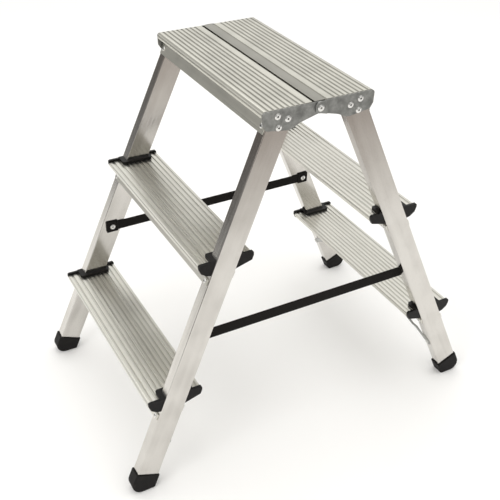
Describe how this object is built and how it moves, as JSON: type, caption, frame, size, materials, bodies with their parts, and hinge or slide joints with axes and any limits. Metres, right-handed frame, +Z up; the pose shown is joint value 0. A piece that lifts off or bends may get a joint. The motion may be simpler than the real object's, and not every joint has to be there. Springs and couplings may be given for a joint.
{
  "type": "folding step ladder",
  "caption": "Folding double-sided aluminium step ladder with ribbed treads and platform, riveted stiles, hinge plates, webbing straps and moulded feet.",
  "frame": {"origin": "floor level under the middle of the hinge axis", "axes": "+Z up; the hinge axis lies along Y; the two frames open towards -X and +X"},
  "size_m": [0.7108, 0.4468, 0.65],
  "materials": {
    "stile_aluminium": "mill-finish rectangular tube",
    "tread_aluminium": "satin extruded aluminium with fine lengthwise lines",
    "plate_steel": "galvanised sheet steel, dull grey",
    "rivet_metal": "bright aluminium",
    "brace_steel": "zinc-plated strip",
    "cap_plastic": "black moulded polypropylene",
    "foot_rubber": "black moulded rubber",
    "strap_webbing": "black woven polyester webbing"
  },
  "bodies": {
    "left_frame": {"brace_left_far": "brace_steel", "brace_left_near": "brace_steel", "brace_rivets_left_far": "rivet_metal", "brace_rivets_left_near": "rivet_metal", "foot_left_far": "foot_rubber", "foot_left_near": "foot_rubber", "hinge_plate_left_far": "plate_steel", "hinge_plate_left_near": "plate_steel", "hinge_rivets_left_far": "rivet_metal", "hinge_rivets_left_near": "rivet_metal", "pivot_rivet_far": "rivet_metal", "pivot_rivet_near": "rivet_metal", "platform_left": "tread_aluminium", "platform_rivets_left": "rivet_metal", "stile_left_far": "stile_aluminium", "stile_left_near": "stile_aluminium", "strap_far": "strap_webbing", "strap_near": "strap_webbing", "strap_rivet_left_far": "rivet_metal", "strap_rivet_left_near": "rivet_metal", "tread_cap_lower_left_far": "cap_plastic", "tread_cap_lower_left_near": "cap_plastic", "tread_cap_upper_left_far": "cap_plastic", "tread_cap_upper_left_near": "cap_plastic", "tread_left_lower": "tread_aluminium", "tread_left_upper": "tread_aluminium", "tread_rivets_left_lower": "rivet_metal", "tread_rivets_left_upper": "rivet_metal"},
    "right_frame": {"brace_right_far": "brace_steel", "brace_right_near": "brace_steel", "brace_rivets_right_far": "rivet_metal", "brace_rivets_right_near": "rivet_metal", "foot_right_far": "foot_rubber", "foot_right_near": "foot_rubber", "hinge_plate_right_far": "plate_steel", "hinge_plate_right_near": "plate_steel", "hinge_rivets_right_far": "rivet_metal", "hinge_rivets_right_near": "rivet_metal", "platform_right": "tread_aluminium", "platform_rivets_right": "rivet_metal", "stile_right_far": "stile_aluminium", "stile_right_near": "stile_aluminium", "strap_rivet_right_far": "rivet_metal", "strap_rivet_right_near": "rivet_metal", "tread_cap_lower_right_far": "cap_plastic", "tread_cap_lower_right_near": "cap_plastic", "tread_cap_upper_right_far": "cap_plastic", "tread_cap_upper_right_near": "cap_plastic", "tread_right_lower": "tread_aluminium", "tread_right_upper": "tread_aluminium", "tread_rivets_right_lower": "rivet_metal", "tread_rivets_right_upper": "rivet_metal"}
  },
  "joints": [
    {"name": "fold", "type": "hinge", "parent": "left_frame", "child": "right_frame", "pos_m": [0, 0, 0.6394], "axis": [0, 1, 0], "range_deg": [0, 46.9], "deforming": ["strap_far", "strap_near"]}
  ]
}
